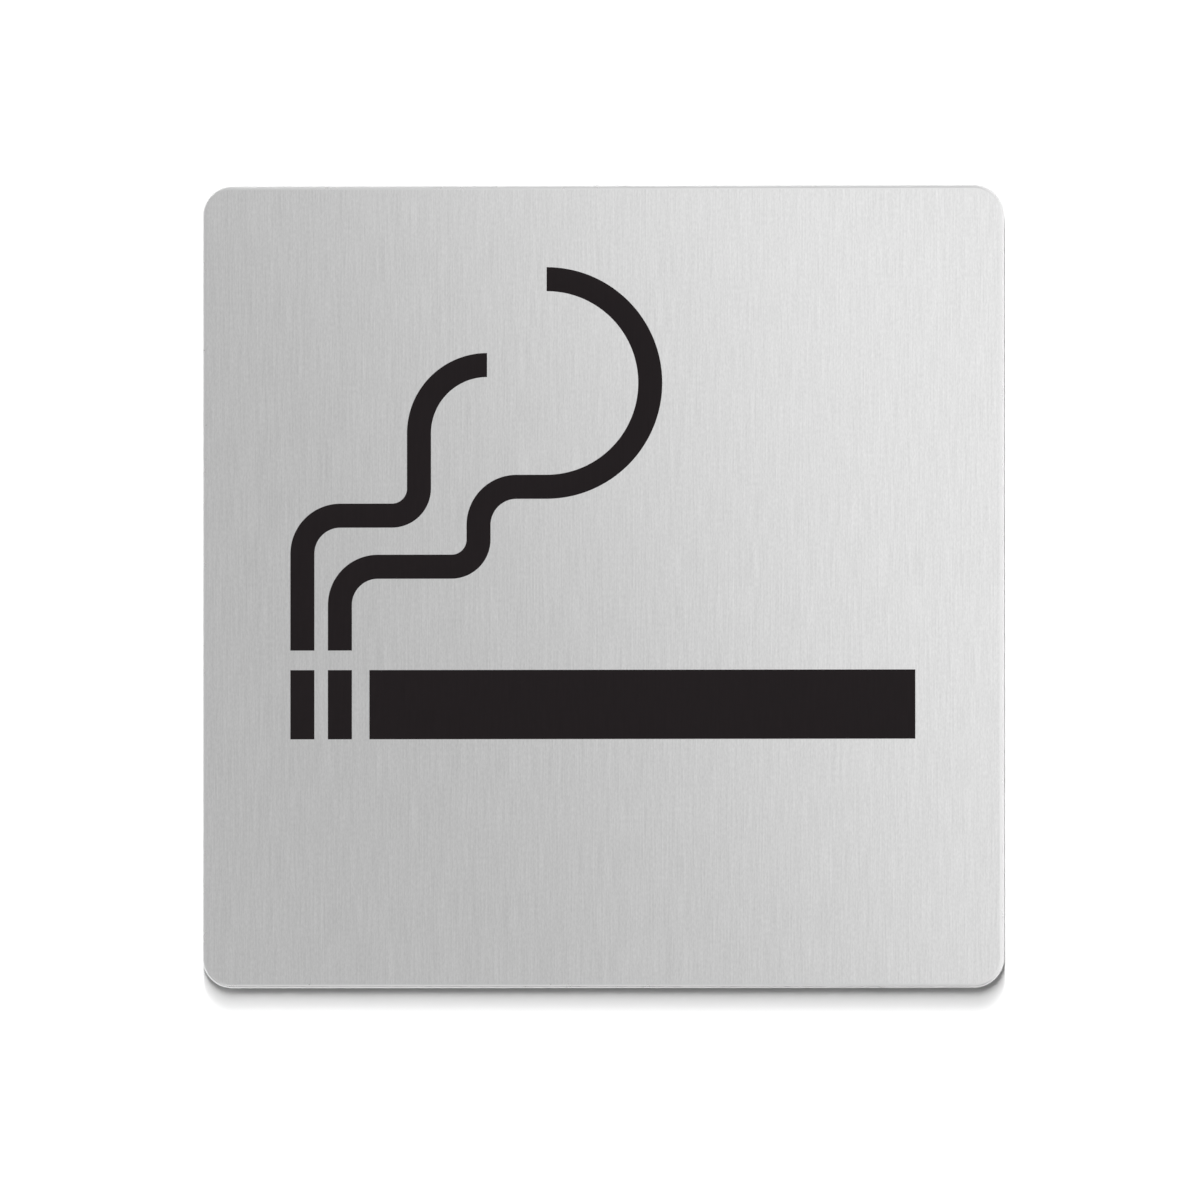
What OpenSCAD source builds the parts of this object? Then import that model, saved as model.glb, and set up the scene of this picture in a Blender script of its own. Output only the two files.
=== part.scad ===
// Smoking permitted sign: a square of brushed stainless steel with rounded corners,
// a black pictogram printed on its front, and an adhesive pad on its back.
// The sign is drawn upright, as it hangs on a wall: X runs to the right, Z runs up,
// and the front looks towards -Y. The origin is the middle of the face that meets the wall.

/* [Plate] */
// Width of the plate
plate_w = 80; // [70:1:200]
// Height of the plate
plate_h = 80; // [72:1:200]
// Thickness of the steel sheet
plate_t = 1.5; // [1:0.1:4]
// Radius of the corners, seen from the front
corner_r = 3; // [1:0.1:10]
// Radius of the round along the front edge
front_edge_r = 0.4; // [0.3:0.05:0.6]
// Radius of the broken back edge
back_edge_r = 0.15; // [0.05:0.05:0.25]

/* [Adhesive pad] */
// Distance from the plate's edge to the pad's edge
pad_margin = 5; // [1:0.5:15]
// Thickness of the foam pad
pad_t = 0.6; // [0.2:0.1:2]
// Radius of the pad's corners
pad_corner_r = 2; // [0.5:0.5:6]

/* [Pictogram] */
// Thickness of the ink film
ink_t = 0.05; // [0.02:0.01:0.2]
// Width of the smoke ribbons and of the two narrow bars
line_w = 2.4; // [1:0.05:3]
// Clear space between the two narrow bars, and so between the ribbons above them
line_gap = 1.35; // [0.6:0.05:2.5]
// Height of the cigarette and of the two narrow bars
bar_h = 6.9; // [3:0.1:12]
// Height of the bars' lower edge, measured from the middle of the plate
bar_z = -15.2; // [-28:0.1:-12]
// Length of the long bar of the cigarette
cigarette_l = 54.5; // [20:0.5:58]
// Clear space between the narrow bars and the long bar
cigarette_gap = 1.75; // [0.6:0.05:4]
// Clear space between the narrow bars and the feet of the ribbons
smoke_gap = 1.95; // [0.6:0.05:4]

/* [Smoke ribbons] */
// Centre line radius of the wide bends
wide_bend_r = 3.8; // [2:0.1:5]
// Centre line radius of the tight bends
tight_bend_r = 2.7; // [2:0.1:4]
// First upright length of the short ribbon
short_foot_l = 9.65; // [8:0.05:14]
// Level length of the short ribbon
short_run_l = 5.15; // [2:0.05:8]
// Second upright length of the short ribbon
short_rise_l = 5.5; // [1:0.05:10]
// Centre line radius of the short ribbon's last bend
short_tip_r = 6.8; // [3:0.05:9]
// First upright length of the long ribbon
long_foot_l = 4.55; // [2:0.05:6.5]
// First level length of the long ribbon
long_run_l = 7.35; // [5:0.05:12]
// Second upright length of the long ribbon
long_rise_l = 1.45; // [0.5:0.05:4]
// Second level length of the long ribbon
long_top_l = 3; // [1:0.05:8]
// Centre line radius of the long ribbon's hook
hook_r = 10.35; // [6:0.05:12]

/* [Hidden] */
$fn = 96;

steel_colour = [0.78, 0.78, 0.78];
foam_colour = [0.9, 0.89, 0.86];
ink_colour = [0.14, 0.13, 0.13];

// Turning sides and angles of the ribbons
to_right = 1;
to_left = -1;
quarter = 90;
half_turn = 180;

// The plate's back lies on the pad, and the ink lies on the plate's front
plate_back_y = -pad_t;
plate_front_y = plate_back_y - plate_t;

// Flat middle of the plate, inside its corner arcs
flat_w = plate_w - 2 * corner_r;
flat_h = plate_h - 2 * corner_r;

pad_w = plate_w - 2 * pad_margin;
pad_h = plate_h - 2 * pad_margin;

// The bars stand side by side, and the whole row is centred on the plate
figure_w = 2 * line_w + line_gap + cigarette_gap + cigarette_l;
outer_bar_x = -figure_w / 2;
inner_bar_x = outer_bar_x + line_w + line_gap;
cigarette_x = inner_bar_x + line_w + cigarette_gap;
smoke_foot_z = bar_z + bar_h + smoke_gap;

// Stands a shape that lies on the XY plane upright, its underside at back_y,
// its top looking forwards
module upright(back_y) {
    translate([0, back_y, 0])
        rotate([90, 0, 0])
            children();
}

// Quarter of a disc, with its centre at the origin
module quarter_disc(r) {
    intersection() {
        circle(r);
        square(r);
    }
}

// Rectangle with round corners, centred on the origin
module rounded_rectangle(w, h, r) {
    square([w, h - 2 * r], center = true);
    for (end = [0, 1])
        mirror([0, end]) {
            translate([-w / 2 + r, h / 2 - r])
                square([w - 2 * r, r]);
            for (side = [0, 1])
                mirror([side, 0])
                    translate([w / 2 - r, h / 2 - r])
                        quarter_disc(r);
        }
}

// Section across the plate's rim. X runs outwards from the centre of the corner arc,
// Y runs from the back of the sheet to its front.
module rim_section() {
    square([corner_r - front_edge_r, plate_t]);
    translate([corner_r - front_edge_r, plate_t - front_edge_r])
        quarter_disc(front_edge_r);
    translate([corner_r - front_edge_r, back_edge_r])
        square([front_edge_r, plate_t - front_edge_r - back_edge_r]);
    translate([corner_r - front_edge_r, 0])
        square([front_edge_r - back_edge_r, back_edge_r]);
    translate([corner_r - back_edge_r, back_edge_r])
        mirror([0, 1])
            quarter_disc(back_edge_r);
}

// One straight side of the rim
module rim_side(length) {
    rotate([90, 0, 0])
        linear_extrude(height = length, center = true)
            rim_section();
}

// One corner of the rim, the same section turned through a quarter
module rim_corner() {
    rotate_extrude(angle = quarter)
        rim_section();
}

// The blanked and brushed sheet: a flat middle with the rim carried all the way round
module plate() {
    color(steel_colour)
        upright(plate_back_y) {
            translate([-flat_w / 2, -flat_h / 2, 0])
                cube([flat_w, flat_h, plate_t]);
            for (side = [0, 1])
                mirror([side, 0, 0]) {
                    translate([flat_w / 2, 0, 0])
                        rim_side(flat_h);
                    for (end = [0, 1])
                        mirror([0, end, 0])
                            translate([flat_w / 2, flat_h / 2, 0])
                                rim_corner();
                }
            for (end = [0, 1])
                mirror([0, end, 0])
                    translate([0, flat_h / 2, 0])
                        rotate(quarter)
                            rim_side(flat_w);
        }
}

// Double sided foam pad that holds the sign to the wall
module adhesive_pad() {
    color(foam_colour)
        upright(0)
            linear_extrude(height = pad_t)
                rounded_rectangle(pad_w, pad_h, pad_corner_r);
}

// Lays an outline on the front of the plate as a film of ink
module ink() {
    color(ink_colour)
        upright(plate_front_y)
            linear_extrude(height = ink_t)
                children();
}

// Long bar: the cigarette itself
module cigarette_print() {
    ink()
        translate([cigarette_x, bar_z])
            square([cigarette_l, bar_h]);
}

// One of the two narrow bars at the burning end
module tip_bar(x) {
    ink()
        translate([x, bar_z])
            square([line_w, bar_h]);
}

module outer_tip_print() {
    tip_bar(outer_bar_x);
}

module inner_tip_print() {
    tip_bar(inner_bar_x);
}

// Straight length of ribbon. It starts at the origin and heads along +Y;
// what follows it starts at its far end.
module straight(length) {
    translate([-line_w / 2, 0])
        square([line_w, length]);
    translate([0, length])
        children();
}

// Band of ribbon round the origin, from the X axis through a quarter or a half turn
module arc_band(r, angle) {
    outer_r = r + line_w / 2;
    intersection() {
        difference() {
            circle(outer_r);
            circle(r - line_w / 2);
        }
        translate([angle > quarter ? -outer_r : 0, 0])
            square([angle > quarter ? 2 * outer_r : outer_r, outer_r]);
    }
}

// Bend of the ribbon to the right or to the left, tangent to what comes before it;
// what follows it starts at its far end, in the new heading.
module bend(r, side, angle = quarter) {
    translate([side * r, 0]) {
        mirror([side > 0 ? 1 : 0, 0])
            arc_band(r, angle);
        rotate(-side * angle)
            translate([-side * r, 0])
                children();
    }
}

// Short smoke ribbon: up, right, up, and a quarter bend to its tip
module short_smoke_print() {
    ink()
        translate([outer_bar_x + line_w / 2, smoke_foot_z])
            straight(short_foot_l)
            bend(wide_bend_r, to_right)
            straight(short_run_l)
            bend(tight_bend_r, to_left)
            straight(short_rise_l)
            bend(short_tip_r, to_right);
}

// Long smoke ribbon: two steps up to the right, and a half turn hook back over them
module long_smoke_print() {
    ink()
        translate([inner_bar_x + line_w / 2, smoke_foot_z])
            straight(long_foot_l)
            bend(wide_bend_r, to_right)
            straight(long_run_l)
            bend(tight_bend_r, to_left)
            straight(long_rise_l)
            bend(wide_bend_r, to_right)
            straight(long_top_l)
            bend(hook_r, to_left, half_turn);
}

plate();
adhesive_pad();
cigarette_print();
outer_tip_print();
inner_tip_print();
short_smoke_print();
long_smoke_print();
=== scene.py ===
# %% [markdown]
# This lesson dresses a small wall sign: a square of brushed stainless steel, a black
# printed figure, and a foam pad that holds the sign to its wall. The plain solids are
# loaded first, because every finished piece has to sit exactly where its solid sits.
# X runs to the right, Z runs up, the front looks towards -Y, and the wall is at Y = 0.

# %% Load the frame
import math

import bpy
import numpy as np
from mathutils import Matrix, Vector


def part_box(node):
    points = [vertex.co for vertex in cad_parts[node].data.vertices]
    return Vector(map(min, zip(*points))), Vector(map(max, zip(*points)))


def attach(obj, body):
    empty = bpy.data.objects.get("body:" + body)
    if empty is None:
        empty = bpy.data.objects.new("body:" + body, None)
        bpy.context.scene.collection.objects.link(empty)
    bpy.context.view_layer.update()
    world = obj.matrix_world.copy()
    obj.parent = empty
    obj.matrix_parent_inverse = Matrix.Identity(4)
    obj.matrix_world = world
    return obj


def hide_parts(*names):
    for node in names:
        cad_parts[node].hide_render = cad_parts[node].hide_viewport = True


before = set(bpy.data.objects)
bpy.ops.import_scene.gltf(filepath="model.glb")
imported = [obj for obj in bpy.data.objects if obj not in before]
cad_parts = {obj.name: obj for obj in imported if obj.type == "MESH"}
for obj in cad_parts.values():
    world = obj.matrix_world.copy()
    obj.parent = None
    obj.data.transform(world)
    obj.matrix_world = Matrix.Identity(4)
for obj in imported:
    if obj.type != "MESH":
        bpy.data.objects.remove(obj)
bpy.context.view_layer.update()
plate_low, plate_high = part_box("plate")
pad_low, pad_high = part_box("adhesive_pad")
print("plate from", plate_low, "to", plate_high)
print("pad from", pad_low, "to", pad_high)

# %% [markdown]
# The picture was taken almost square on, with a long lens. A little light from the lower
# and right edges reaches the lens, so the camera stood slightly below the middle and a
# little to the right. The camera could be placed by eye, but two lengths measured in the
# picture do it better: where the plate's middle lies, and how many pixels a millimetre
# takes. Placing it first fixes what every later step is judged against.

# %% Camera
MM = 0.001
PICTURE_SIZE = 1200
PLATE_MIDDLE_PX = (602.7, 586.5)
PX_PER_MM = 10.035
CAMERA_DISTANCE = 4.0
CAMERA_RIGHT = math.radians(3.6)
CAMERA_BELOW = math.radians(1.3)
CAMERA_CLIP = (0.01, 20.0)
SENSOR_MM = 36.0
QUARTER_TURN = math.pi / 2
HALF_TURN = math.pi

view_back = np.array([
    math.sin(CAMERA_RIGHT) * math.cos(CAMERA_BELOW),
    -math.cos(CAMERA_RIGHT) * math.cos(CAMERA_BELOW),
    -math.sin(CAMERA_BELOW),
])
frame_width = PICTURE_SIZE / PX_PER_MM * MM
aim = np.array([
    (PICTURE_SIZE / 2 - PLATE_MIDDLE_PX[0]) / PX_PER_MM * MM,
    plate_low.y,
    (PLATE_MIDDLE_PX[1] - PICTURE_SIZE / 2) / PX_PER_MM * MM,
])
camera_data = bpy.data.cameras.new("sign_camera")
camera_data.sensor_width = SENSOR_MM
camera_data.lens = SENSOR_MM * CAMERA_DISTANCE / frame_width
camera_data.clip_start, camera_data.clip_end = CAMERA_CLIP
camera = bpy.data.objects.new("sign_camera", camera_data)
camera.location = aim + view_back * CAMERA_DISTANCE
camera.rotation_euler = (QUARTER_TURN + CAMERA_BELOW, 0.0, CAMERA_RIGHT)
bpy.context.scene.collection.objects.link(camera)
bpy.context.scene.camera = camera
print("lens", round(camera_data.lens), "mm, frame", round(frame_width / MM, 1), "mm wide")

# %% [markdown]
# Every new piece is a grid of points worked out by a formula, so one small helper turns
# arrays of points and faces into a mesh. Points could be added one by one with bmesh, but
# foreach_set hands whole arrays to Blender at once and is far quicker.

# %% Mesh from arrays
QUAD = 4
TRIANGLE = 3


def make_piece(name, points, quads, triangles=None):
    """A smooth-shaded object from points (n, 3), quads (m, 4) and triangles (k, 3)."""
    triangles = np.zeros((0, TRIANGLE), int) if triangles is None else triangles
    corners = np.concatenate([quads.ravel(), triangles.ravel()])
    sizes = np.repeat([QUAD, TRIANGLE], [len(quads), len(triangles)])
    starts = np.concatenate([[0], np.cumsum(sizes)[:-1]])
    mesh = bpy.data.meshes.new(name)
    mesh.vertices.add(len(points))
    mesh.vertices.foreach_set("co", points.astype(np.float32).ravel())
    mesh.loops.add(len(corners))
    mesh.loops.foreach_set("vertex_index", corners.astype(np.int32))
    mesh.polygons.add(len(sizes))
    mesh.polygons.foreach_set("loop_start", starts.astype(np.int32))
    mesh.polygons.foreach_set("loop_total", sizes.astype(np.int32))
    mesh.polygons.foreach_set("use_smooth", np.ones(len(sizes), bool))
    mesh.update(calc_edges=True)
    mesh.validate()
    piece = bpy.data.objects.new(name, mesh)
    bpy.context.scene.collection.objects.link(piece)
    print(name, len(points), "points,", len(quads), "quads,", len(triangles), "triangles")
    return piece


print("faces are made with", QUAD, "or", TRIANGLE, "corners")

# %% [markdown]
# The plate and the pad share one form: a flat square with round corners. A cube with its
# edges bevelled twice would come close, but two bevels of different size meet badly in
# the corners. Here each point of the outline is a centre plus a distance along an outward
# direction. In a corner the centre rests and the direction turns; along a side the centre
# slides and the direction rests. So the outline stays exact at any distance.

# %% Rounded square
CORNER_STEPS = 40
SIDE_STEPS = 24
CORNER_SIGNS = np.array([[1, 1], [-1, 1], [-1, -1], [1, -1]])
OUTLINE_STEPS = (CORNER_STEPS + SIDE_STEPS) * len(CORNER_SIGNS)


def rounded_square(low, high, radius):
    """The middle, centres C(s) and outward directions N(s), anticlockwise seen from the
    front. At a corner C is the box's corner moved in by the radius and N turns a quarter;
    along a side C = (1 - t) corner + t next corner, and N is held."""
    middle = np.array([low.x + high.x, low.z + high.z]) / 2
    reach = np.array([high.x - low.x, high.z - low.z]) / 2 - radius
    corner = (CORNER_SIGNS * reach)[:, None]
    side = np.roll(corner, -1, axis=0) - corner
    slide = np.linspace(0, 1, SIDE_STEPS + 2)[1:-1, None]
    turn = np.linspace(0, QUARTER_TURN, CORNER_STEPS)
    turn = np.append(turn, np.full(SIDE_STEPS, QUARTER_TURN))
    angles = (np.arange(len(CORNER_SIGNS))[:, None] * QUARTER_TURN + turn).ravel()
    at_corner = np.repeat(corner, CORNER_STEPS, axis=1)
    centres = np.concatenate([at_corner, corner + side * slide], axis=1).reshape(-1, 2)
    return middle, centres, np.stack([np.cos(angles), np.sin(angles)], axis=1)


print("points round the outline", OUTLINE_STEPS)

# %% [markdown]
# The rim is a section carried round that outline, as a router would cut it. Each point of
# the section makes one ring. The flat faces need no grid of their own: the first and the
# last ring are joined to one point in the middle, which closes the front and the back.

# %% Section carried round the square
def carry_section(name, square, section):
    """P(s, t) = middle + C(s) + rho(t) N(s), at depth y(t), for the section's points
    (rho, y) from the front to the back; the first and last rings close on a point."""
    middle, centres, directions = square
    rings, around = len(section), len(centres)
    flat = middle + centres + section[:, 0, None, None] * directions
    depth = np.broadcast_to(section[:, 1, None], (rings, around))
    points = np.stack([flat[..., 0], depth, flat[..., 1]], axis=2).reshape(-1, 3)
    front_pole = [middle[0], section[0, 1], middle[1]]
    back_pole = [middle[0], section[-1, 1], middle[1]]
    points = np.concatenate([points, [front_pole, back_pole]])
    column = np.arange(around)
    following = (column + 1) % around
    row = np.arange(rings - 1)[:, None] * around
    quads = np.stack([
        row + column,
        row + around + column,
        row + around + following,
        row + following,
    ], axis=2).reshape(-1, QUAD)
    front = np.full(around, rings * around)
    last = (rings - 1) * around
    triangles = np.concatenate([
        np.stack([front, column, following], axis=1),
        np.stack([last + following, last + column, front + 1], axis=1),
    ])
    return make_piece(name, points, quads, triangles)


print("one ring has", OUTLINE_STEPS, "quads")

# %% [markdown]
# The plate is blanked from 1.5 mm sheet, then tumbled and brushed, which rounds the front
# edge and breaks the back one. A Bevel modifier would round them too, but the light on
# that narrow round is what makes a flat square read as metal with a thickness, so it is
# written as a true quarter circle in many small steps. A ring laid close beside each
# round keeps the flats shading flat.

# %% Plate
CORNER_RADIUS = 3 * MM
FRONT_ROUND = 0.4 * MM
BACK_ROUND = 0.15 * MM
FRONT_STEPS = 14
BACK_STEPS = 8
SUPPORT = 0.02 * MM


def quarter(steps):
    """Cosine and sine of a quarter turn, as two arrays."""
    angle = np.linspace(0, QUARTER_TURN, steps)
    return np.cos(angle), np.sin(angle)


front_cos, front_sin = quarter(FRONT_STEPS)
back_cos, back_sin = quarter(BACK_STEPS)
y_front, y_back = plate_low.y, plate_high.y
front_round = np.stack([
    CORNER_RADIUS - FRONT_ROUND + FRONT_ROUND * front_sin,
    y_front + FRONT_ROUND - FRONT_ROUND * front_cos,
], axis=1)
back_round = np.stack([
    CORNER_RADIUS - BACK_ROUND + BACK_ROUND * back_cos,
    y_back - BACK_ROUND + BACK_ROUND * back_sin,
], axis=1)
plate_section = np.concatenate([
    [[CORNER_RADIUS - FRONT_ROUND - SUPPORT, y_front]],
    front_round,
    [[CORNER_RADIUS, y_front + FRONT_ROUND + SUPPORT]],
    [[CORNER_RADIUS, y_back - BACK_ROUND - SUPPORT]],
    back_round,
    [[CORNER_RADIUS - BACK_ROUND - SUPPORT, y_back]],
])
plate = carry_section(
    "steel_plate",
    rounded_square(plate_low, plate_high, CORNER_RADIUS),
    plate_section,
)
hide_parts("plate")
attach(plate, "root")

# %% [markdown]
# The pad is a die-cut square of thin foam with adhesive on both faces. It could stay a
# plain slab, but foam springs back after the cut and leaves its side walls slightly
# hollow. So the same carried section makes it, with a shallow parabola for the wall. Its
# faces stay flat, because it is held tight between the plate and the wall.

# %% Adhesive pad
PAD_CORNER = 2 * MM
PAD_HOLLOW = 0.05 * MM
PAD_STEPS = 9

wall_part = np.linspace(0, 1, PAD_STEPS)
pad_wall = np.stack([
    PAD_CORNER - PAD_HOLLOW * (1 - (2 * wall_part - 1) ** 2),
    pad_low.y + (pad_high.y - pad_low.y) * wall_part,
], axis=1)
pad_section = np.concatenate([
    [[PAD_CORNER - SUPPORT, pad_low.y]],
    pad_wall,
    [[PAD_CORNER - SUPPORT, pad_high.y]],
])
pad = carry_section(
    "foam_pad",
    rounded_square(pad_low, pad_high, PAD_CORNER),
    pad_section,
)
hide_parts("adhesive_pad")
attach(pad, "root")

# %% [markdown]
# The figure is one pass of screen ink, in five islands. Each follows a centre line made of
# straights and bends, every one tangent to the piece before it. A Bezier curve could be
# pulled to the same shape by hand, but a chain of lengths, radii and sides is how such an
# outline is drawn, and it is exact: how far, how tight, and to which side.

# %% Centre line of the print
LEFT, RIGHT, STRAIGHT = 1, -1, 0
UP, ACROSS = QUARTER_TURN, 0.0


def step(place, heading, curve, length):
    """Place after a length at constant curvature k: along a straight it is s (cos h,
    sin h); on a bend it is (sin(h + k s) - sin h, cos h - cos(h + k s)) / k."""
    bent = np.abs(curve) > 0
    safe = np.where(bent, curve, 1.0)
    turned = heading + curve * length
    along_x = np.where(bent, (np.sin(turned) - np.sin(heading)) / safe, length * np.cos(heading))
    along_z = np.where(bent, (np.cos(heading) - np.cos(turned)) / safe, length * np.sin(heading))
    return place + np.stack([along_x, along_z], axis=-1)


def chain(start, heading, pieces):
    """Rows of (distance, x, z, heading, curvature) where each tangent piece begins, and
    the whole length. A straight is (length, STRAIGHT); a bend is (radius, side, angle)."""
    rows, place, travelled = [], np.array(start, float), 0.0
    for size, side, *angle in pieces:
        length = size * angle[0] if side else size
        curve = side / size if side else 0.0
        rows.append([travelled, *place, heading, curve])
        place = step(place, heading, curve, length)
        heading += curve * length
        travelled += length
    return np.array(rows), travelled


_, turned_length = chain((0.0, 0.0), UP, [(1 * MM, RIGHT, QUARTER_TURN)])
print("a quarter bend of 1 mm is", round(turned_length / MM, 3), "mm long")

# %% [markdown]
# A wet film levels to a flat top and draws down to nothing at its outline. A flat ribbon
# would show no edge in close light, so each island is a height over its centre line: full
# thickness in the middle, and a quarter circle lip along every edge. Points are close
# together only in the lips and on the bends, where the shape changes.

# %% Ink film over a centre line
LIP = 0.06 * MM
LIP_STEPS = 6
STEPS_PER_RADIAN = 26
NANOMETRE_DIGITS = 9

lip_steps = LIP * (1 - np.cos(np.linspace(0, QUARTER_TURN, LIP_STEPS)))
print("lip steps in mm", np.round(lip_steps / MM, 4))


def film_stations(rows, total):
    """Distances along the path: through both end lips, at each joint and on the bends."""
    joints = np.append(rows[:, 0], total)
    stations = [lip_steps, total - lip_steps, rows[1:, 0]]
    for number in np.flatnonzero(rows[:, 4]):
        first, last = joints[number], joints[number + 1]
        count = 2 + int(abs(rows[number, 4]) * (last - first) * STEPS_PER_RADIAN)
        stations.append(np.linspace(first, last, count))
    return np.unique(np.round(np.concatenate(stations), NANOMETRE_DIGITS))


def lip_height(distance):
    """Height of the film, from 0 to 1, at a distance from its edge: a quarter circle."""
    part = np.clip(distance / LIP, 0, 1)
    return np.sqrt(1 - (1 - part) ** 2)


def sheet(index):
    """Quads over a grid of point numbers, facing the front of the sign."""
    return np.stack([
        index[:-1, :-1], index[1:, :-1], index[1:, 1:], index[:-1, 1:],
    ], axis=2).reshape(-1, QUAD)


# %% [markdown]
# With the stations known, the film is one grid: along the path, and across its width. A
# second, flat grid under it shares the outline's points, so the island is a closed body
# like the real film, and no seam can open along its edge.

# %% Film as one closed grid
def film(name, node, start, heading, width, pieces):
    """P(s, u) = centre(s) + u side(s), raised by the lip height of the nearest edge; the
    underside is the same grid left flat."""
    rows, total = chain(start, heading, pieces)
    s = film_stations(rows, total)
    at = rows[np.clip(np.searchsorted(rows[:, 0], s, side="right") - 1, 0, None)]
    gone = s - at[:, 0]
    centre = step(at[:, 1:3], at[:, 3], at[:, 4], gone)
    heading_at = at[:, 3] + at[:, 4] * gone
    side = np.stack([-np.sin(heading_at), np.cos(heading_at)], axis=1)
    u = np.concatenate([lip_steps - width / 2, (width / 2 - lip_steps)[::-1]])
    flat = centre[:, None] + u[None, :, None] * side[:, None]
    to_edge = np.minimum(np.minimum(s, total - s)[:, None], (width / 2 - np.abs(u))[None, :])
    low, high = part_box(node)
    top_y = high.y - lip_height(to_edge) * (high.y - low.y)
    top = np.stack([flat[..., 0], top_y, flat[..., 1]], axis=2)
    base = top.copy()
    base[..., 1] = high.y
    inner = np.zeros(top.shape[:2], bool)
    inner[1:-1, 1:-1] = True
    upper = np.arange(inner.size).reshape(inner.shape)
    lower = upper.copy()
    lower[inner] = inner.size + np.arange(inner.sum())
    points = np.concatenate([top.reshape(-1, 3), base[inner]])
    piece = make_piece(name, points, np.concatenate([sheet(upper), sheet(lower)[:, ::-1]]))
    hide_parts(node)
    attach(piece, "root")
    return piece


print("a film has", 2 * LIP_STEPS, "points across its width")

# %% [markdown]
# The three bars are the cigarette and its burning end. A box would do for their outline,
# but not for their lips, so they are the simplest chains, one straight each. They take
# their size from their solids.

# %% Bars
BARS = {
    "cigarette_film": "cigarette_print",
    "outer_tip_film": "outer_tip_print",
    "inner_tip_film": "inner_tip_print",
}
films = []
for name, node in BARS.items():
    low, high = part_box(node)
    start = (low.x, (low.z + high.z) / 2)
    bar_path = [(high.x - low.x, STRAIGHT)]
    films.append(film(name, node, start, ACROSS, high.z - low.z, bar_path))

# %% [markdown]
# The two smoke ribbons are the pieces with the most drawing in them. Each starts at the
# foot of its solid, as wide as the narrow bar below it, and climbs in quarter bends; the
# long one ends in a half turn. They could be cut from their solids, but the chain keeps
# their edges smooth at any size, and the lengths are the ones the outline was drawn with.

# %% Smoke ribbons
WIDE_BEND = 3.8 * MM
TIGHT_BEND = 2.7 * MM
SHORT_PATH = [
    (9.65 * MM, STRAIGHT),
    (WIDE_BEND, RIGHT, QUARTER_TURN),
    (5.15 * MM, STRAIGHT),
    (TIGHT_BEND, LEFT, QUARTER_TURN),
    (5.5 * MM, STRAIGHT),
    (6.8 * MM, RIGHT, QUARTER_TURN),
]
LONG_PATH = [
    (4.55 * MM, STRAIGHT),
    (WIDE_BEND, RIGHT, QUARTER_TURN),
    (7.35 * MM, STRAIGHT),
    (TIGHT_BEND, LEFT, QUARTER_TURN),
    (1.45 * MM, STRAIGHT),
    (WIDE_BEND, RIGHT, QUARTER_TURN),
    (3 * MM, STRAIGHT),
    (10.35 * MM, LEFT, HALF_TURN),
]
RIBBONS = {
    "short_smoke_film": ("short_smoke_print", SHORT_PATH),
    "long_smoke_film": ("long_smoke_print", LONG_PATH),
}
tip_low, tip_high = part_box("outer_tip_print")
ribbon_width = tip_high.x - tip_low.x
for name, (node, path) in RIBBONS.items():
    low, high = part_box(node)
    foot = (low.x + ribbon_width / 2, low.z)
    films.append(film(name, node, foot, UP, ribbon_width, path))

# %% [markdown]
# Materials are trees of nodes. They could be clicked together, but a lesson that builds
# them in code needs two small helpers: one adds a node, and the other sets each of its
# inputs, or links it where the value comes from another node.

# %% Node helpers
def connect(tree, node, inputs):
    """Sets each named or numbered input, or links it to another node's output."""
    for key, value in inputs.items():
        if isinstance(value, bpy.types.NodeSocket):
            tree.links.new(value, node.inputs[key])
        else:
            node.inputs[key].default_value = value
    return node


def add(tree, kind, inputs, settings=None):
    """A new node with its settings made and its inputs connected."""
    node = tree.nodes.new(kind)
    for key, value in (settings or {}).items():
        setattr(node, key, value)
    return connect(tree, node, inputs)


def times(tree, first, second):
    """The product of two values that vary over a surface or with a direction."""
    return add(tree, "ShaderNodeMath", {0: first, 1: second}, {"operation": "MULTIPLY"}).outputs[0]


def plus(tree, first, second):
    """The sum of two values that vary over a surface."""
    return add(tree, "ShaderNodeMath", {0: first, 1: second}, {"operation": "ADD"}).outputs[0]


def spread(tree, value, span, levels, curve="LINEAR"):
    """Maps a value that runs over a span onto the levels at the span's two ends."""
    return add(tree, "ShaderNodeMapRange", {
        "Value": value,
        "From Min": span[0],
        "From Max": span[1],
        "To Min": levels[0],
        "To Max": levels[1],
    }, {"interpolation_type": curve}).outputs["Result"]


print("helpers:", ", ".join(tool.__name__ for tool in (connect, add, times, plus, spread)))

# %% [markdown]
# Steel, ink and foam all carry fine irregular marks, so the marks are one node group that
# each material sets for itself. A painted image could hold them, but noise is sharp at
# every size and needs no file. The group divides the position by the size of one mark
# along each axis: a mark long in Z and thin in X becomes an upright brush line, and one
# with equal sides becomes mottling. It gives the marks themselves, for bump and gloss,
# and a tone around 1 that a colour is multiplied by.

# %% Marks group
MARKS_SPAN = (0.3, 0.7)
FINER_LAYERS = 0.55
MARKS_INPUTS = {
    "Position": "NodeSocketVector",
    "Mark Size": "NodeSocketVector",
    "Layers": "NodeSocketFloat",
    "Swing": "NodeSocketFloat",
}
MARKS_OUTPUTS = ("Marks", "Tone")


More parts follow.
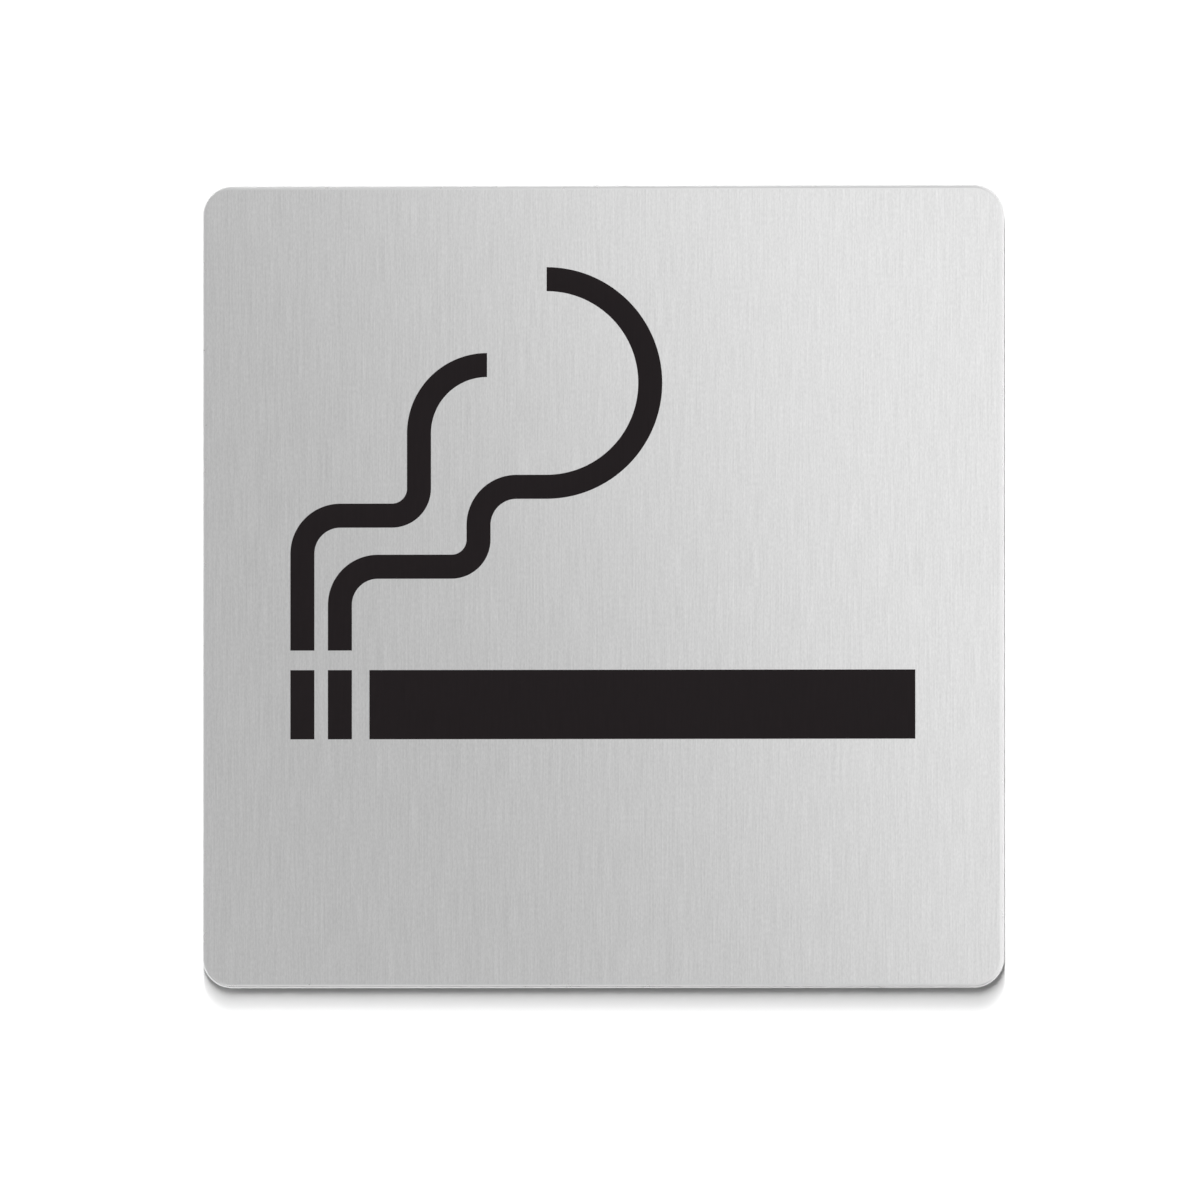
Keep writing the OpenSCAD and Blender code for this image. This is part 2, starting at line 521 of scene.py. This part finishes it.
def surface_marks():
    """Node group: noise at position / mark size, and a tone from 1 - swing to 1 + swing."""
    group = bpy.data.node_groups.new("surface_marks", "ShaderNodeTree")
    for name, kind in MARKS_INPUTS.items():
        group.interface.new_socket(name, in_out="INPUT", socket_type=kind)
    for name in MARKS_OUTPUTS:
        group.interface.new_socket(name, in_out="OUTPUT", socket_type="NodeSocketFloat")
    given = group.nodes.new("NodeGroupInput").outputs
    scaled = add(
        group, "ShaderNodeVectorMath",
        {0: given["Position"], 1: given["Mark Size"]}, {"operation": "DIVIDE"},
    ).outputs[0]
    noise = add(group, "ShaderNodeTexNoise", {
        "Vector": scaled,
        "Scale": 1.0,
        "Detail": given["Layers"],
        "Roughness": FINER_LAYERS,
    }, {"noise_dimensions": "3D"}).outputs["Fac"]
    darkest = add(
        group, "ShaderNodeMath", {0: 1.0, 1: given["Swing"]}, {"operation": "SUBTRACT"},
    ).outputs[0]
    tone = spread(group, noise, MARKS_SPAN, (darkest, plus(group, 1.0, given["Swing"])))
    result = group.nodes.new("NodeGroupOutput")
    connect(group, result, {"Marks": noise, "Tone": tone})
    return group


marks_group = surface_marks()
print(marks_group.name, "has", len(marks_group.nodes), "nodes")

# %% [markdown]
# Every finish below is put together in the same order: marks in the object's own
# coordinates, a colour toned by them, a roughness that follows them, and a shallow bump.
# The bump could carry the whole effect, but fine lines shimmer when only bump makes them,
# so the colour takes its share.

# %% Finish helpers
def new_finish(name):
    """A material, its tree, its Principled BSDF, and the position on the object."""
    material = bpy.data.materials.new(name)
    material.use_nodes = True
    tree = material.node_tree
    position = tree.nodes.new("ShaderNodeTexCoord").outputs["Object"]
    return material, tree, tree.nodes["Principled BSDF"], position


def add_marks(tree, position, kind):
    """One use of the marks group; kind is the size in mm, the layers and the swing."""
    size_mm, layers, swing = kind
    settings = {"node_tree": marks_group}
    return add(tree, "ShaderNodeGroup", {
        "Position": position,
        "Mark Size": [length * MM for length in size_mm],
        "Layers": layers,
        "Swing": swing,
    }, settings).outputs


def toned(tree, colour, *tones):
    """The colour times every tone in turn."""
    for tone in tones:
        colour = add(
            tree, "ShaderNodeVectorMath", {0: colour, "Scale": tone}, {"operation": "SCALE"},
        ).outputs[0]
    return colour


def bumped(tree, height, bump):
    """The normal tilted by a height; bump is its strength and its depth in metres."""
    strength, depth = bump
    return add(tree, "ShaderNodeBump", {
        "Strength": strength,
        "Distance": depth,
        "Height": height,
    }).outputs[0]


print("helpers:", ", ".join(tool.__name__ for tool in (new_finish, add_marks, toned, bumped)))

# %% [markdown]
# Brushed steel gets its look from thousands of shallow upright scratches. They do three
# things: they vary the brightness line by line, they tilt the surface very slightly, and
# they spread reflections sideways far more than up and down. The first is colour, the
# second is bump, and the third is the anisotropic setting, which needs a direction: a UV
# map laid flat over the face says which way X runs. Three kinds of mark are mixed,
# because real brushing has short nicks, fine hair lines and wide, slow passes.

# %% Brushed front
FACE_MAP = "face_map"
STEEL = (0.735, 0.735, 0.735)
NICKS = ((0.16, 1.0, 0.4), 2.0, 0.055)
HAIR_LINES = ((0.16, 1.0, 5.0), 3.0, 0.055)
PASSES = ((0.6, 1.0, 24.0), 2.0, 0.012)
FACE_ROUGHNESS = (0.29, 0.31)
FACE_STRETCH = 0.45
FACE_BUMP = (0.12, 0.004 * MM)


def brushed_front():
    """Front face of the plate: upright hair lines over bright steel."""
    material, tree, shader, position = new_finish("brushed_steel_front")
    nicks = add_marks(tree, position, NICKS)
    hair = add_marks(tree, position, HAIR_LINES)
    passes = add_marks(tree, position, PASSES)
    across = add(tree, "ShaderNodeTangent", {}, {"direction_type": "UV_MAP", "uv_map": FACE_MAP})
    connect(tree, shader, {
        "Base Color": toned(tree, STEEL, nicks["Tone"], hair["Tone"], passes["Tone"]),
        "Roughness": spread(tree, passes["Marks"], MARKS_SPAN, FACE_ROUGHNESS),
        "Metallic": 1.0,
        "Anisotropic": FACE_STRETCH,
        "Tangent": across.outputs[0],
        "Normal": bumped(tree, hair["Marks"], FACE_BUMP),
    })
    return material


front_finish = brushed_front()
print(front_finish.name, "has", len(front_finish.node_tree.nodes), "nodes")

# %% [markdown]
# The rim isn't brushed. It is the cut edge of the sheet after tumbling: smoother, with
# faint lines that run straight through the thickness. The front's finish could simply be
# carried over it, but its upright lines would then run along the side edges and across
# the others. It is the same steel, so only the marks and the roughness change.

# %% Tumbled rim
CUT_LINES = ((0.25, 1.2, 0.25), 2.0, 0.012)
TUMBLED_PATCHES = ((1.6, 0.8, 1.6), 2.0, 0.015)
RIM_ROUGHNESS = (0.27, 0.31)
RIM_BUMP = (0.02, 0.004 * MM)


def tumbled_rim():
    """Rounded and cut edge of the plate: fine lines across the thickness."""
    material, tree, shader, position = new_finish("tumbled_steel_rim")
    cuts = add_marks(tree, position, CUT_LINES)
    patches = add_marks(tree, position, TUMBLED_PATCHES)
    connect(tree, shader, {
        "Base Color": toned(tree, STEEL, cuts["Tone"], patches["Tone"]),
        "Roughness": spread(tree, patches["Marks"], MARKS_SPAN, RIM_ROUGHNESS),
        "Metallic": 1.0,
        "Normal": bumped(tree, cuts["Marks"], RIM_BUMP),
    })
    return material


rim_finish = tumbled_rim()
print(rim_finish.name, "has", len(rim_finish.node_tree.nodes), "nodes")

# %% [markdown]
# The back is never brushed either, because it faces the wall. It keeps the skin it had
# from the rolling mill: duller, a trace darker, and faintly clouded along the roll. The
# rim's finish could serve there, but it would make the back look machined.

# %% Mill finish back
BACK_STEEL = (0.62, 0.62, 0.61)
CLOUDS = ((3.0, 3.0, 6.0), 3.0, 0.04)
ROLLED_SKIN = ((0.08, 0.08, 0.25), 3.0, 0.05)
BACK_ROUGHNESS = (0.38, 0.46)
BACK_BUMP = (0.2, 0.004 * MM)


def mill_back():
    """Back of the plate: the dull, faintly clouded skin of cold-rolled sheet."""
    material, tree, shader, position = new_finish("mill_finish_back")
    clouds = add_marks(tree, position, CLOUDS)
    skin = add_marks(tree, position, ROLLED_SKIN)
    connect(tree, shader, {
        "Base Color": toned(tree, BACK_STEEL, clouds["Tone"], skin["Tone"]),
        "Roughness": spread(tree, clouds["Marks"], MARKS_SPAN, BACK_ROUGHNESS),
        "Metallic": 1.0,
        "Normal": bumped(tree, skin["Marks"], BACK_BUMP),
    })
    return material


back_finish = mill_back()
print(back_finish.name, "has", len(back_finish.node_tree.nodes), "nodes")

# %% [markdown]
# One mesh carries the three steel finishes. It could be cut into three objects, but the
# sheet is one piece, so the faces are told apart instead: those that lie in the front
# plane, those in the back plane, and everything between. The same arrays lay the UV map
# flat over the face.

# %% Dress the plate
FRONT_SLOT, RIM_SLOT, BACK_SLOT = 0, 1, 2
FLAT_LIMIT = 0.999


def mesh_array(items, key, columns, kind):
    """One property of every item of a mesh, as an array with that many columns."""
    values = np.empty(len(items) * columns, kind)
    items.foreach_get(key, values)
    return values.reshape(-1, columns)


for finish in (front_finish, rim_finish, back_finish):
    plate.data.materials.append(finish)
facing = mesh_array(plate.data.polygons, "normal", 3, np.float32)[:, 1]
slots = np.full(len(facing), RIM_SLOT, np.int32)
slots[facing < -FLAT_LIMIT] = FRONT_SLOT
slots[facing > FLAT_LIMIT] = BACK_SLOT
plate.data.polygons.foreach_set("material_index", slots)

corner_points = mesh_array(plate.data.loops, "vertex_index", 1, np.int32).ravel()
places = mesh_array(plate.data.vertices, "co", 3, np.float32)[corner_points]
flat_places = (places[:, [0, 2]] - [plate_low.x, plate_low.z]) / (plate_high.x - plate_low.x)
face_map = plate.data.uv_layers.new(name=FACE_MAP)
face_map.data.foreach_set("uv", flat_places.astype(np.float32).ravel())
print("faces per finish", np.bincount(slots))

# %% [markdown]
# The ink is a satin black. A plain dark colour would look like a hole in the steel: a
# screen film is never quite even, and it is so thin that the brush lines below still show
# as a ripple in its gloss. So it takes the same marks as the steel, mostly in the bump
# and the roughness, and hardly in colour.

# %% Black ink
INK = (0.0094, 0.0074, 0.0080)
LINES_BELOW = ((0.14, 1.0, 3.0), 2.0, 0.08)
INK_MOTTLE = ((0.5, 0.5, 0.5), 3.0, 0.06)
INK_ROUGHNESS = (0.50, 0.58)
INK_SPECULAR = 0.1
INK_BUMP = (0.1, 0.004 * MM)


def screen_ink():
    """Satin black film with a trace of the brushing below it."""
    material, tree, shader, position = new_finish("black_screen_ink")
    below = add_marks(tree, position, LINES_BELOW)
    mottle = add_marks(tree, position, INK_MOTTLE)
    connect(tree, shader, {
        "Base Color": toned(tree, INK, below["Tone"], mottle["Tone"]),
        "Roughness": spread(tree, mottle["Marks"], MARKS_SPAN, INK_ROUGHNESS),
        "Specular IOR Level": INK_SPECULAR,
        "Normal": bumped(tree, plus(tree, below["Marks"], mottle["Marks"]), INK_BUMP),
    })
    return material


ink_finish = screen_ink()
for piece in films:
    piece.data.materials.append(ink_finish)
print(ink_finish.name, "on", len(films), "films")

# %% [markdown]
# Foam is full of tiny closed cells, which show as pits on the cut sides and as a soft
# dapple through the adhesive on the faces. Noise alone has no round cells, so a Voronoi
# pattern gives their walls, and the shared marks give the uneven colour.

# %% Foam pad
FOAM = (0.80, 0.79, 0.755)
CELL_SIZE = 0.16 * MM
CELL_SPAN = (0.0, 0.9)
CELL_TONES = (1.02, 0.94)
DAPPLE = ((1.4, 1.4, 1.4), 3.0, 0.03)
FOAM_ROUGHNESS = (0.42, 0.56)
FOAM_SPECULAR = 0.45
FOAM_BUMP = (0.35, 0.02 * MM)


def acrylic_foam():
    """Off-white closed-cell foam under a thin tacky adhesive."""
    material, tree, shader, position = new_finish("acrylic_foam")
    cells = add(
        tree, "ShaderNodeTexVoronoi", {"Vector": position, "Scale": 1 / CELL_SIZE},
    ).outputs["Distance"]
    dapple = add_marks(tree, position, DAPPLE)
    cell_tone = spread(tree, cells, CELL_SPAN, CELL_TONES)
    connect(tree, shader, {
        "Base Color": toned(tree, FOAM, cell_tone, dapple["Tone"]),
        "Roughness": spread(tree, dapple["Marks"], MARKS_SPAN, FOAM_ROUGHNESS),
        "Specular IOR Level": FOAM_SPECULAR,
        "Normal": bumped(tree, cells, FOAM_BUMP),
    })
    return material


foam_finish = acrylic_foam()
pad.data.materials.append(foam_finish)
print(foam_finish.name, "has", len(foam_finish.node_tree.nodes), "nodes")

# %% [markdown]
# The sign hangs on a plain pale wall, which takes its short soft shadow, and the steel rim
# mirrors both. The wall could be a whole room, but then no view from behind would reach
# the sign. This one is a single sheet just behind the pad. It is clear from behind, and
# stays clear for a path that has come through it, so the back of the plate isn't dark.
# A little of its white is its own light, so that it stays an even white ground.

# %% Wall
WALL_SIZE = 1.2
WALL_GAP = 0.05 * MM
WALL_COLOUR = (0.9, 0.9, 0.9, 1.0)
WALL_GLOW = 0.05
SHEET_FACE = np.array([[0, 1, 2, 3]])
SHEET_CORNERS = np.array([[-1, -1], [1, -1], [1, 1], [-1, 1]])


def upright_sheet(name, size, y, facing_front):
    """A square sheet: P = (x, y, z) at its four corners, in the order that faces it."""
    corners = SHEET_CORNERS if facing_front else SHEET_CORNERS[::-1]
    flat = corners * size / 2
    points = np.stack([flat[:, 0], np.full(len(flat), y), flat[:, 1]], axis=1)
    return make_piece(name, points, SHEET_FACE)


def pale_wall():
    """White wall: diffuse plus a little of its own light, and clear from behind."""
    material = bpy.data.materials.new("pale_wall")
    material.use_nodes = True
    tree = material.node_tree
    tree.nodes.clear()
    paint = add(tree, "ShaderNodeBsdfDiffuse", {"Color": WALL_COLOUR})
    glow = add(tree, "ShaderNodeEmission", {"Strength": WALL_GLOW})
    lit = add(tree, "ShaderNodeAddShader", {0: paint.outputs[0], 1: glow.outputs[0]})
    clear = add(tree, "ShaderNodeBsdfTransparent", {})
    behind = tree.nodes.new("ShaderNodeNewGeometry").outputs["Backfacing"]
    passed = tree.nodes.new("ShaderNodeLightPath").outputs["Transparent Depth"]
    see_through = add(
        tree, "ShaderNodeMath", {0: behind, 1: passed}, {"operation": "ADD", "use_clamp": True},
    )
    both = add(tree, "ShaderNodeMixShader", {
        0: see_through.outputs[0],
        1: lit.outputs[0],
        2: clear.outputs[0],
    })
    add(tree, "ShaderNodeOutputMaterial", {"Surface": both.outputs[0]})
    return material


wall = upright_sheet("wall", WALL_SIZE, pad_high.y + WALL_GAP, True)
wall.data.materials.append(pale_wall())
for ray in ("shadow", "diffuse"):
    setattr(wall, "visible_" + ray, False)

# %% [markdown]
# Metal is a mirror, however dull, so its light is what stands around it. Cards and lamps
# could be set up round the sign, but one smooth sky is easier to steer and has no edges.
# It is worked out from the direction of each ray: bright on the right, dimmer on the
# left, a pale band low in front, which draws a fine light line along the lower edge, and
# dark low down behind, which makes the edge itself read dark.

# %% Light tent
WHITE = (1.0, 1.0, 1.0, 1.0)
FULL_WHITE = 1.0
TENT_SPAN = (-0.6, 0.8)
TENT_LEVELS = (0.65, 1.12)
LOW_SPAN = (-0.6, -0.35)
LOW_ACROSS = (-0.7, -0.2)
LOW_LEVELS = (0.5, 0.92)
DARK_WAY = (0.12, 0.35, -0.93)
DARK_SPAN = (0.66, 0.84)
DARK_LEVELS = (1.0, 0.14)
SOFT = "SMOOTHSTEP"


def tent_level(tree, direction):
    """Level of the tent as metal sees it: a ramp over X, another ramp low down, and all
    of it turned down around one direction."""
    parts = add(tree, "ShaderNodeSeparateXYZ", {"Vector": direction}).outputs
    across = spread(tree, parts["X"], TENT_SPAN, TENT_LEVELS, SOFT)
    low_down = spread(tree, parts["X"], LOW_ACROSS, LOW_LEVELS, SOFT)
    banded = spread(tree, parts["Z"], LOW_SPAN, (low_down, across), SOFT)
    towards_dark = add(
        tree, "ShaderNodeVectorMath", {0: direction, 1: DARK_WAY}, {"operation": "DOT_PRODUCT"},
    ).outputs["Value"]
    return times(tree, banded, spread(tree, towards_dark, DARK_SPAN, DARK_LEVELS, SOFT))


print("tent from", TENT_LEVELS[0], "on the left to", TENT_LEVELS[1], "on the right")

# %% [markdown]
# Matt surfaces need another sky, faint in front and bright behind: the soft boxes light
# the front, and the foam on the back gets its light from the sky. The camera sees plain
# white. Two worlds can't be used at once, so one Light Path node tells the rays apart.
# Light that has bounced between the plate and the wall is cut down as well, so that the
# shadow stays deep where the two meet.

# %% World
MATT_SPAN = (-0.1, 0.3)
MATT_LEVELS = (0.10, 0.90)
FIRST_BOUNCE = (0.0, 1.0)
GAP_LEVELS = (1.0, 0.10)


def light_tent():
    """World light as a function of direction, and white for the camera."""
    world = bpy.data.worlds.new("light_tent")
    world.use_nodes = True
    tree = world.node_tree
    tree.nodes.clear()
    direction = tree.nodes.new("ShaderNodeTexCoord").outputs["Generated"]
    rays = tree.nodes.new("ShaderNodeLightPath").outputs
    gap = spread(tree, rays["Diffuse Depth"], FIRST_BOUNCE, GAP_LEVELS)
    mirrored = times(tree, tent_level(tree, direction), gap)
    depth = add(tree, "ShaderNodeSeparateXYZ", {"Vector": direction}).outputs["Y"]
    matt = spread(tree, depth, MATT_SPAN, MATT_LEVELS, SOFT)
    skies = [
        add(tree, "ShaderNodeBackground", {"Color": WHITE, "Strength": level}).outputs[0]
        for level in (mirrored, matt, FULL_WHITE)
    ]
    lit = add(tree, "ShaderNodeMixShader", {0: rays["Is Diffuse Ray"], 1: skies[0], 2: skies[1]})
    seen = add(tree, "ShaderNodeMixShader", {
        0: rays["Is Camera Ray"],
        1: lit.outputs[0],
        2: skies[2],
    })
    add(tree, "ShaderNodeOutputWorld", {"Surface": seen.outputs[0]})
    return world


bpy.context.scene.world = light_tent()
print(bpy.context.scene.world.name, "has", len(bpy.context.scene.world.node_tree.nodes), "nodes")

# %% [markdown]
# Three soft boxes light the wall and the ink. A single large one would also give a soft
# shadow, but the real one is deep beside the plate and fades in a long tail. So the boxes
# hang one above the other, from nearly straight in front to high above: where the plate
# hides all three it is dark, and it fades as one after another comes free. They are
# narrow, so no shadow shows at the sides. A small weak box close by on the left opens the
# left half of the shadow, as a near window would. All four are hidden from reflections.

# %% Soft boxes
BOX_DISTANCE = 3.0
BOX_WIDTH = 0.12
# each box: its rise above the horizon, its height in metres and its power in watts
BOXES = {
    "low_soft_box": (math.radians(17.1), 0.79, 40.3),
    "middle_soft_box": (math.radians(33.8), 1.005, 29.7),
    "high_soft_box": (math.radians(49.5), 0.684, 46.8),
}
# the small box: its middle and its size in metres, and its power in watts
FILL_PLACE = (-0.13, -0.12, -0.02)
FILL_SIZE = (0.05, 0.05)
FILL_POWER = 0.024


def soft_box(name, place, size, power):
    """An area lamp at that place, turned towards the middle of the sign."""
    lamp_data = bpy.data.lights.new(name, "AREA")
    lamp_data.shape = "RECTANGLE"
    lamp_data.size, lamp_data.size_y = size
    lamp_data.energy = power
    lamp = bpy.data.objects.new(name, lamp_data)
    lamp.location = place
    lamp.rotation_euler = (-lamp.location).to_track_quat("-Z", "Y").to_euler()
    lamp.visible_camera = False
    lamp.visible_glossy = False
    bpy.context.scene.collection.objects.link(lamp)
    print(name, "at", lamp.location)


for name, (rise, height, power) in BOXES.items():
    place = (0.0, -BOX_DISTANCE * math.cos(rise), BOX_DISTANCE * math.sin(rise))
    soft_box(name, place, (BOX_WIDTH, height), power)
soft_box("fill_box", FILL_PLACE, FILL_SIZE, FILL_POWER)

# %% [markdown]
# A lit panel stands right in front of the sign, seen only in reflections. A sky alone
# can't give the slow gradient over the face, because all of a flat mirror sees nearly the
# same part of a sky. The panel is near, so each part of the steel sees another part of
# it. It grows brighter towards the upper right, and fades into the tent towards its own
# edges, so no edge shows in the steel.

# %% Reflected panel
PANEL_Y = -0.15
PANEL_SIZE = 0.32
PANEL_FADE = (0.085, 0.13)
PANEL_LEAN = 0.534
PANEL_SPAN = (-0.0215, 0.0271)
PANEL_LEVELS = (0.57, 1.154)
PANEL_RISE = -0.533
FLATTEN = (1.0, 0.0, 1.0)


def panel_glow():
    """Emission that rises along x + lean z, from the lower left to the upper right."""
    material = bpy.data.materials.new("reflected_panel")
    material.use_nodes = True
    tree = material.node_tree
    tree.nodes.clear()
    position = tree.nodes.new("ShaderNodeTexCoord").outputs["Object"]
    parts = add(tree, "ShaderNodeSeparateXYZ", {"Vector": position}).outputs
    along = plus(tree, parts["X"], times(tree, parts["Z"], PANEL_LEAN))
    ramp = spread(tree, along, PANEL_SPAN, PANEL_LEVELS, SOFT)
    strength = plus(tree, ramp, times(tree, parts["Z"], PANEL_RISE))
    glow = add(tree, "ShaderNodeEmission", {"Strength": strength})
    flat = add(
        tree, "ShaderNodeVectorMath", {0: position, 1: FLATTEN}, {"operation": "MULTIPLY"},
    ).outputs[0]
    radius = add(
        tree, "ShaderNodeVectorMath", {0: flat}, {"operation": "LENGTH"},
    ).outputs["Value"]
    fade = spread(tree, radius, PANEL_FADE, (0.0, 1.0), SOFT)
    clear = add(tree, "ShaderNodeBsdfTransparent", {})
    both = add(tree, "ShaderNodeMixShader", {0: fade, 1: glow.outputs[0], 2: clear.outputs[0]})
    add(tree, "ShaderNodeOutputMaterial", {"Surface": both.outputs[0]})
    return material


panel = upright_sheet("reflected_panel", PANEL_SIZE, PANEL_Y, False)
panel.data.materials.append(panel_glow())
for ray in ("camera", "shadow", "diffuse", "transmission"):
    setattr(panel, "visible_" + ray, False)

# %% [markdown]
# The view transform is set to Standard, so a colour comes out as it was written; a filmic
# one would grey the white wall.

# %% Finish
bpy.context.scene.view_settings.view_transform = "Standard"
